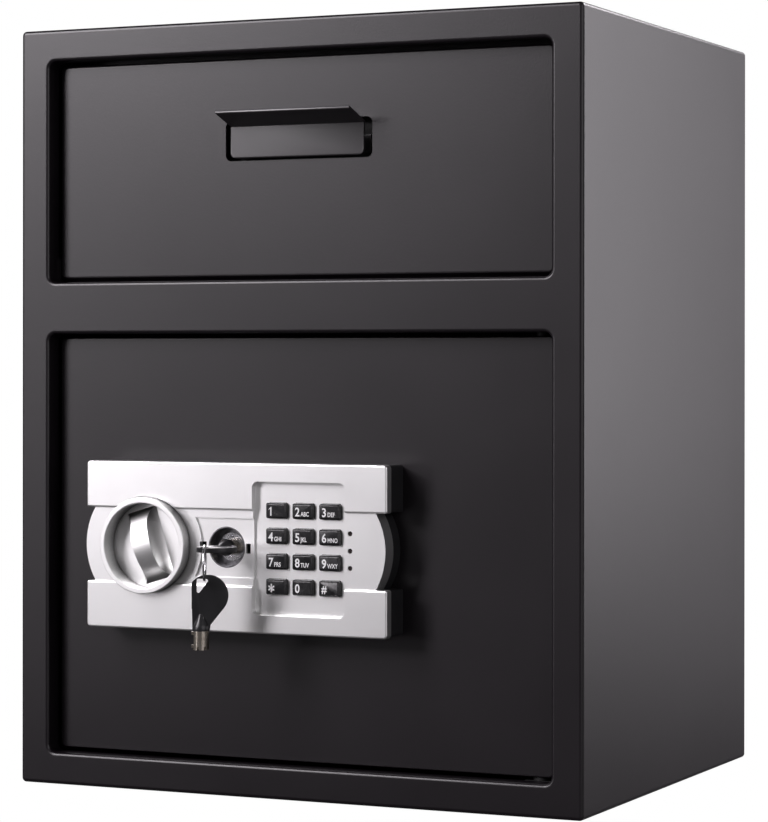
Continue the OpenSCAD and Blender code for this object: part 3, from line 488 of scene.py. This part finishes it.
def circuit_board():
    """The green board behind the keypad."""
    return surface(
        "circuit_board", ((0.01, 0.07, 0.03), (0.02, 0.11, 0.05)), tone_scale=250.0,
        rough=(0.35, 0.5), grain=(400.0, 0.03 * MM),
    )


def battery_wrap():
    """The plain glossy wrap of the batteries."""
    return surface(
        "battery_wrap", ((0.012, 0.012, 0.014), (0.02, 0.02, 0.024)), tone_scale=70.0,
        rough=(0.18, 0.26),
    )


def white_print():
    """The ink of the numbers and letters."""
    white = tuple(finish_settings().print_white)
    return surface(
        "white_print", (scaled(white, 0.93), white), tone_scale=600.0, rough=(0.45, 0.6),
    )


FINISHES = (
    powder_coat, pull_coat, shadow_black, zinc_plate, rubber, black_moulding, key_head_moulding,
    key_cap_moulding, red_moulding, silver_lacquer, satin_chrome, bright_chrome, dark_cup,
    key_nickel, dark_lens, circuit_board, battery_wrap, white_print,
)


def material_named(name):
    """The finish of that name, made the first time it is asked for."""
    made = bpy.data.materials.get(name)
    if made:
        return made
    for finish in FINISHES:
        if finish.__name__ == name:
            return finish()
    raise RuntimeError(f"no finish is called {name}")


# Shared shapes

def body_of_node(node):
    """The record's body that holds a node."""
    for body, nodes in frame["record"]["behaviour"]["bodies"].items():
        if node in nodes:
            return body
    raise RuntimeError(f"no body holds {node}")


def link_piece(name, data):
    """A new object in the scene that shows the mesh or curve."""
    piece = bpy.data.objects.new(name, data)
    bpy.context.scene.collection.objects.link(piece)
    return piece


def add_finish(piece, finish):
    """Gives the whole piece one finish."""
    piece.data.materials.clear()
    piece.data.materials.append(material_named(finish))


def smooth_by_angle(mesh, degrees):
    """Smooth shading that keeps edges sharper than the angle crisp."""
    shape = bmesh.new()
    shape.from_mesh(mesh)
    for face in shape.faces:
        face.smooth = True
    for edge in shape.edges:
        turned = edge.calc_face_angle(0.0) if len(edge.link_faces) == 2 else math.pi
        edge.smooth = turned < math.radians(degrees)
    shape.to_mesh(mesh)
    shape.free()


def eased_copy(node, finish, width, steps):
    """A copy of a node with its sharp edges rounded, shown in the node's place."""
    source = frame["nodes"][node]
    shape = bmesh.new()
    shape.from_mesh(source.data)
    bmesh.ops.remove_doubles(shape, verts=shape.verts, dist=WELD)
    bmesh.ops.dissolve_limit(
        shape, angle_limit=math.radians(FLAT_ANGLE), verts=shape.verts, edges=shape.edges,
        delimit=set(),
    )
    limit = math.radians(SHARP_ANGLE)
    edges = [e for e in shape.edges if len(e.link_faces) == 2 and e.calc_face_angle(0.0) > limit]
    bmesh.ops.bevel(
        shape, geom=edges, offset=width, segments=steps, profile=0.5, affect="EDGES",
        clamp_overlap=True,
    )
    bmesh.ops.triangulate(shape, faces=[f for f in shape.faces if len(f.verts) > 4])
    mesh = bpy.data.meshes.new(node + "_eased")
    shape.to_mesh(mesh)
    shape.free()
    mesh.transform(source.matrix_world)
    piece = link_piece(node + "_eased", mesh)
    add_finish(piece, finish)
    smooth_by_angle(mesh, EASED_SMOOTH_ANGLE)
    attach(piece, body_of_node(node))
    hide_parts(node)


def solid_islands(node):
    """Lowest and highest corner of each separate solid in a node, in metres."""
    shape = bmesh.new()
    shape.from_mesh(frame["nodes"][node].data)
    shape.transform(frame["nodes"][node].matrix_world)
    bmesh.ops.remove_doubles(shape, verts=shape.verts, dist=WELD)
    left, boxes = set(shape.verts), []
    while left:
        queue, island = [left.pop()], []
        while queue:
            vert = queue.pop()
            island.append(vert.co.copy())
            for edge in vert.link_edges:
                other = edge.other_vert(vert)
                if other in left:
                    left.remove(other)
                    queue.append(other)
        low = Vector([min(p[i] for p in island) for i in range(3)])
        high = Vector([max(p[i] for p in island) for i in range(3)])
        boxes.append((low, high))
    shape.free()
    return sorted(boxes, key=lambda box: tuple(box[0]))


# Print

def text_mesh(words, size, depth, width):
    """Flat lettering in the XZ plane, facing -Y, in metres; width stretches it sideways."""
    curve = bpy.data.curves.new("lettering", "FONT")
    curve.body = words
    curve.size = size
    curve.extrude = depth / 2
    curve.offset = size * PRINT_BOLDNESS
    curve.resolution_u = PRINT_CURVE_STEPS
    holder = link_piece("lettering", curve)
    made = holder.evaluated_get(bpy.context.evaluated_depsgraph_get())
    mesh = bpy.data.meshes.new_from_object(made)
    bpy.data.objects.remove(holder)
    bpy.data.curves.remove(curve)
    upright = Matrix.Rotation(math.radians(90), 4, "X")
    mesh.transform(upright @ Matrix.Diagonal((width, 1, 1, 1)))
    return mesh


def flag_mesh(height, depth):
    """The short stroke at the head of a figure one, placed as text_mesh places its lettering."""
    stroke, reach = FLAG_STROKE * height, FLAG_REACH * height
    outline = ((0.0, 0.0), (0.0, -stroke), (-reach, -reach - stroke), (-reach, -reach))
    corners = [(x, y, z) for y in (-depth / 2, depth / 2) for x, z in outline]
    ends = [(3, 2, 1, 0), (4, 5, 6, 7)]
    sides = [(k, (k + 1) % 4, (k + 1) % 4 + 4, k + 4) for k in range(4)]
    mesh = bpy.data.meshes.new("flag")
    mesh.from_pydata(corners, [], ends + sides)
    return mesh


def joined(meshes_and_places):
    """One mesh from several, each moved to its place."""
    shape = bmesh.new()
    for mesh, place in meshes_and_places:
        mesh.transform(Matrix.Translation(place))
        shape.from_mesh(mesh)
        bpy.data.meshes.remove(mesh)
    whole = bpy.data.meshes.new("joined")
    shape.to_mesh(whole)
    shape.free()
    return whole


def key_print(node, sign, letters):
    """All the print of one key, standing on its face."""
    detail = detail_settings()
    digit, depth = detail.digit_height, detail.print_depth
    low, high = (Vector(corner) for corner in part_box(node))
    face_y = low.y - depth / 2
    foot = (low.z + high.z) / 2 + (SIGN_LIFTS.get(sign, 0.0) - PRINT_DROP) * digit
    side = low.x + PRINT_SIDE
    figure = text_mesh(sign, digit * SIGN_SIZES.get(sign, 1.0), depth, detail.digit_width)
    marks = [(figure, (side, face_y, foot))]
    if sign == "1":
        head = max(vert.co.z for vert in figure.vertices)
        inner = min(vert.co.x for vert in figure.vertices) + FLAG_INSET * digit
        marks.append((flag_mesh(digit, depth), (side + inner, face_y, foot + head)))
    if letters:
        word = text_mesh(letters, detail.letter_height, depth, detail.letter_width)
        marks.append((word, (side + WORD_SHIFT * digit, face_y, foot)))
    return joined(marks)


# Geometry Nodes

def screw_tree(name):
    """Instances a cross-slotted screw head at every point of the input mesh, then realizes them."""
    tree = bpy.data.node_groups.new(name, "GeometryNodeTree")
    face = tree.interface
    face.new_socket("Geometry", in_out="INPUT", socket_type="NodeSocketGeometry")
    radius = face.new_socket("Head radius", in_out="INPUT", socket_type="NodeSocketFloat")
    height = face.new_socket("Head height", in_out="INPUT", socket_type="NodeSocketFloat")
    finish = face.new_socket("Finish", in_out="INPUT", socket_type="NodeSocketMaterial")
    face.new_socket("Geometry", in_out="OUTPUT", socket_type="NodeSocketGeometry")
    nodes, links = tree.nodes, tree.links
    entry, leave = nodes.new("NodeGroupInput"), nodes.new("NodeGroupOutput")

    def share(socket, factor):
        """A multiple of a socket's value."""
        node = nodes.new("ShaderNodeMath")
        node.operation = "MULTIPLY"
        links.new(socket, node.inputs[0])
        node.inputs[1].default_value = factor
        return node.outputs["Value"]

    head_radius, head_height = entry.outputs["Head radius"], entry.outputs["Head height"]
    head = nodes.new("GeometryNodeMeshCylinder")
    head.inputs["Vertices"].default_value = HEAD_SIDES
    links.new(head_radius, head.inputs["Radius"])
    links.new(head_height, head.inputs["Depth"])
    cut = nodes.new("GeometryNodeMeshBoolean")
    cut.operation = "DIFFERENCE"
    links.new(head.outputs["Mesh"], cut.inputs["Mesh 1"])

    size = nodes.new("ShaderNodeCombineXYZ")
    links.new(share(head_radius, SLOT_LENGTH), size.inputs["X"])
    links.new(share(head_radius, SLOT_WIDTH), size.inputs["Y"])
    links.new(head_height, size.inputs["Z"])
    slot = nodes.new("GeometryNodeMeshCube")
    links.new(size.outputs["Vector"], slot.inputs["Size"])
    lift = nodes.new("ShaderNodeCombineXYZ")
    links.new(share(head_height, SLOT_LIFT), lift.inputs["Z"])
    for turn in (0.0, math.pi / 2):
        place = nodes.new("GeometryNodeTransform")
        place.inputs["Rotation"].default_value = (0.0, 0.0, turn)
        links.new(lift.outputs["Vector"], place.inputs["Translation"])
        links.new(slot.outputs["Mesh"], place.inputs["Geometry"])
        links.new(place.outputs["Geometry"], cut.inputs["Mesh 2"])

    points = nodes.new("GeometryNodeMeshToPoints")
    links.new(entry.outputs["Geometry"], points.inputs["Mesh"])
    spread = nodes.new("GeometryNodeInstanceOnPoints")
    spread.inputs["Rotation"].default_value = (math.radians(-90), 0.0, 0.0)
    links.new(points.outputs["Points"], spread.inputs["Points"])
    links.new(cut.outputs["Mesh"], spread.inputs["Instance"])
    real = nodes.new("GeometryNodeRealizeInstances")
    links.new(spread.outputs["Instances"], real.inputs["Geometry"])
    paint = nodes.new("GeometryNodeSetMaterial")
    links.new(real.outputs["Geometry"], paint.inputs["Geometry"])
    links.new(entry.outputs["Finish"], paint.inputs["Material"])
    links.new(paint.outputs["Geometry"], leave.inputs[0])
    sockets = {"radius": radius, "height": height, "finish": finish}
    return tree, {key: socket.identifier for key, socket in sockets.items()}


# Pieces

class SAFE_OT_paint_nodes(bpy.types.Operator):
    """Gives every part of the safe its finish"""

    bl_idname = "safe.paint_nodes"
    bl_label = "Finish the parts"

    def execute(self, context):
        for finish, nodes in NODES_BY_FINISH.items():
            for node in nodes:
                add_finish(frame["nodes"][node], finish)
        return {"FINISHED"}


class SAFE_OT_ease_mouldings(bpy.types.Operator):
    """Rounds the edges of what the hand touches: key heads, drawer pull and keypad keys"""

    bl_idname = "safe.ease_mouldings"
    bl_label = "Ease the mouldings"

    def execute(self, context):
        detail = detail_settings()
        for node, (finish, share) in EASED_NODES.items():
            eased_copy(node, finish, share * detail.easing, detail.easing_steps)
        for node in KEY_MARKS:
            eased_copy(node, "key_cap_moulding", KEY_EASING * detail.easing, KEY_EASING_STEPS)
        return {"FINISHED"}


class SAFE_OT_print_keys(bpy.types.Operator):
    """Prints a number or sign, and letters where there are any, on each key"""

    bl_idname = "safe.print_keys"
    bl_label = "Print the keys"

    def execute(self, context):
        for node, (sign, letters) in KEY_MARKS.items():
            piece = link_piece("print_" + node, key_print(node, sign, letters))
            piece.data.name = piece.name
            add_finish(piece, "white_print")
            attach(piece, body_of_node(node))
        return {"FINISHED"}


class SAFE_OT_fit_screws(bpy.types.Operator):
    """Fits cross-slotted screws where the inner cover is fixed"""

    bl_idname = "safe.fit_screws"
    bl_label = "Fit the screws"

    def execute(self, context):
        detail = detail_settings()
        tree, sockets = screw_tree("cross_screws")
        places = []
        for low, high in solid_islands("cover_screws"):
            middle = (low + high) / 2
            places.append((middle.x, high.y - detail.screw_height / 2, middle.z))
        points = bpy.data.meshes.new("screw_places")
        points.from_pydata(places, [], [])
        maker = link_piece("screw_maker", points)
        modifier = maker.modifiers.new("Screws", "NODES")
        modifier.node_group = tree
        modifier[sockets["radius"]] = detail.screw_radius
        modifier[sockets["height"]] = detail.screw_height
        modifier[sockets["finish"]] = material_named("zinc_plate")
        context.view_layer.update()
        made = maker.evaluated_get(context.evaluated_depsgraph_get())
        whole = bpy.data.meshes.new_from_object(made)
        bpy.data.objects.remove(maker)
        piece = link_piece("cover_screw_heads", whole)
        smooth_by_angle(whole, SCREW_SMOOTH_ANGLE)
        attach(piece, body_of_node("cover_screws"))
        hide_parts("cover_screws")
        return {"FINISHED"}


# Studio

def split_for_camera(nodes, links, output, lit, seen):
    """Shows one shader to the camera and another to every other ray."""
    mix = nodes.new("ShaderNodeMixShader")
    path = nodes.new("ShaderNodeLightPath")
    links.new(path.outputs["Is Camera Ray"], mix.inputs["Fac"])
    links.new(lit, mix.inputs[1])
    links.new(seen, mix.inputs[2])
    links.new(mix.outputs["Shader"], output.inputs["Surface"])


def studio_white():
    """The floor's finish: plain white to the camera, a matt tone to everything else."""
    material = bpy.data.materials.new("studio_white")
    material.use_nodes = True
    nodes, links = material.node_tree.nodes, material.node_tree.links
    nodes.clear()
    output = nodes.new("ShaderNodeOutputMaterial")
    glow = nodes.new("ShaderNodeEmission")
    glow.inputs["Color"].default_value = (1, 1, 1, 1)
    glow.inputs["Strength"].default_value = 1.0
    matt = nodes.new("ShaderNodeBsdfDiffuse")
    matt.inputs["Color"].default_value = (*FLOOR_TONE, 1)
    split_for_camera(nodes, links, output, matt.outputs["BSDF"], glow.outputs["Emission"])
    return material


def set_world(ambient):
    """A world that is white to the camera and gives the safe a little light from all sides."""
    world = bpy.data.worlds.new("studio")
    bpy.context.scene.world = world
    world.use_nodes = True
    nodes, links = world.node_tree.nodes, world.node_tree.links
    nodes.clear()
    output = nodes.new("ShaderNodeOutputWorld")
    skies = []
    for strength in (ambient, 1.0):
        sky = nodes.new("ShaderNodeBackground")
        sky.inputs["Color"].default_value = (1, 1, 1, 1)
        sky.inputs["Strength"].default_value = strength
        skies.append(sky.outputs["Background"])
    split_for_camera(nodes, links, output, *skies)


def studio_floor():
    """A wide floor a hair below the safe."""
    mesh = bpy.data.meshes.new("studio_floor")
    near, far = -FLOOR_HALF, FLOOR_HALF
    corners = [(near, near, 0), (far, near, 0), (far, far, 0), (near, far, 0)]
    mesh.from_pydata(corners, [], [(0, 1, 2, 3)])
    mesh.materials.append(studio_white())
    floor = link_piece("studio_floor", mesh)
    floor.location.z = CAD_LOW.z - FLOOR_DROP
    return floor


def add_area(name, place, aim, size, power):
    """A lamp turned to its aim, of that width and height in metres and power in watts."""
    lamp = bpy.data.lights.new(name, "AREA")
    lamp.shape = "RECTANGLE"
    lamp.size, lamp.size_y = size
    lamp.energy = power
    lamp.color = LAMP_TINT
    holder = link_piece(name, lamp)
    holder.location = place
    holder.rotation_euler = (Vector(aim) - Vector(place)).to_track_quat("-Z", "Y").to_euler()
    return holder


def photo_camera():
    """The camera that sees the safe as the photograph does."""
    camera = bpy.data.cameras.new("photo_camera")
    camera.sensor_width = CAMERA_SENSOR
    camera.lens = CAMERA_LENS
    camera.shift_x, camera.shift_y = CAMERA_SHIFT
    camera.clip_start = CAMERA_NEAR
    holder = link_piece("photo_camera", camera)
    holder.location = CAMERA_AT
    holder.rotation_euler = (math.pi / 2 + CAMERA_PITCH, CAMERA_ROLL, CAMERA_YAW)
    return holder


class SAFE_OT_build_stage(bpy.types.Operator):
    """Sets the floor, the lamps, the world and the photograph's camera"""

    bl_idname = "safe.build_stage"
    bl_label = "Build the studio"

    def execute(self, context):
        scene = context.scene
        scene.view_settings.view_transform = "Standard"
        floor = studio_floor()
        set_world(AMBIENT)
        middle = (CAD_LOW + CAD_HIGH) / 2
        add_area("key_light", (-1.87, -2.71, 1.42), middle, (0.9, 0.9), 52.0)
        add_area("front_card", (-2.05, -2.43, 0.35), middle, (0.7, 0.7), 6.0)
        add_area("top_light", (-1.2, -1.75, 1.9), middle, (0.8, 0.8), 38.0)
        add_area("side_light", (1.5, 2.0, 0.46), middle, (0.8, 1.5), 15.0)
        add_area("right_fill", (2.4, -1.5, 0.9), middle, (2.4, 2.4), 24.0)
        add_area("back_light", (0.9, 1.2, 1.3), BEHIND_THE_SAFE, (0.6, 0.6), 45.0)
        scene.camera = photo_camera()
        return {"FINISHED"}


class SAFE_PT_panel(bpy.types.Panel):
    """Lists the steps that dress the safe, with their settings"""

    bl_idname = "SAFE_PT_panel"
    bl_label = "Drop Safe"
    bl_space_type = "VIEW_3D"
    bl_region_type = "UI"
    bl_category = "Drop Safe"

    def draw(self, context):
        layout = self.layout
        for group in (context.scene.safe_finish, context.scene.safe_detail):
            box = layout.box()
            for name in group.__annotations__:
                box.prop(group, name)
        for step in STEPS:
            layout.operator(step.bl_idname)


STEPS = (
    SAFE_OT_paint_nodes,
    SAFE_OT_ease_mouldings,
    SAFE_OT_print_keys,
    SAFE_OT_fit_screws,
    SAFE_OT_build_stage,
)
CLASSES = (SafeFinish, SafeDetail, *STEPS, SAFE_PT_panel)


def register():
    for cls in CLASSES:
        bpy.utils.register_class(cls)
    bpy.types.Scene.safe_finish = PointerProperty(type=SafeFinish)
    bpy.types.Scene.safe_detail = PointerProperty(type=SafeDetail)


def unregister():
    del bpy.types.Scene.safe_detail
    del bpy.types.Scene.safe_finish
    for cls in reversed(CLASSES):
        bpy.utils.unregister_class(cls)


def main():
    """Dresses the safe step by step."""
    register()
    bpy.ops.safe.paint_nodes()
    bpy.ops.safe.ease_mouldings()
    bpy.ops.safe.print_keys()
    bpy.ops.safe.fit_screws()
    bpy.ops.safe.build_stage()


if __name__ == "__main__":
    main()
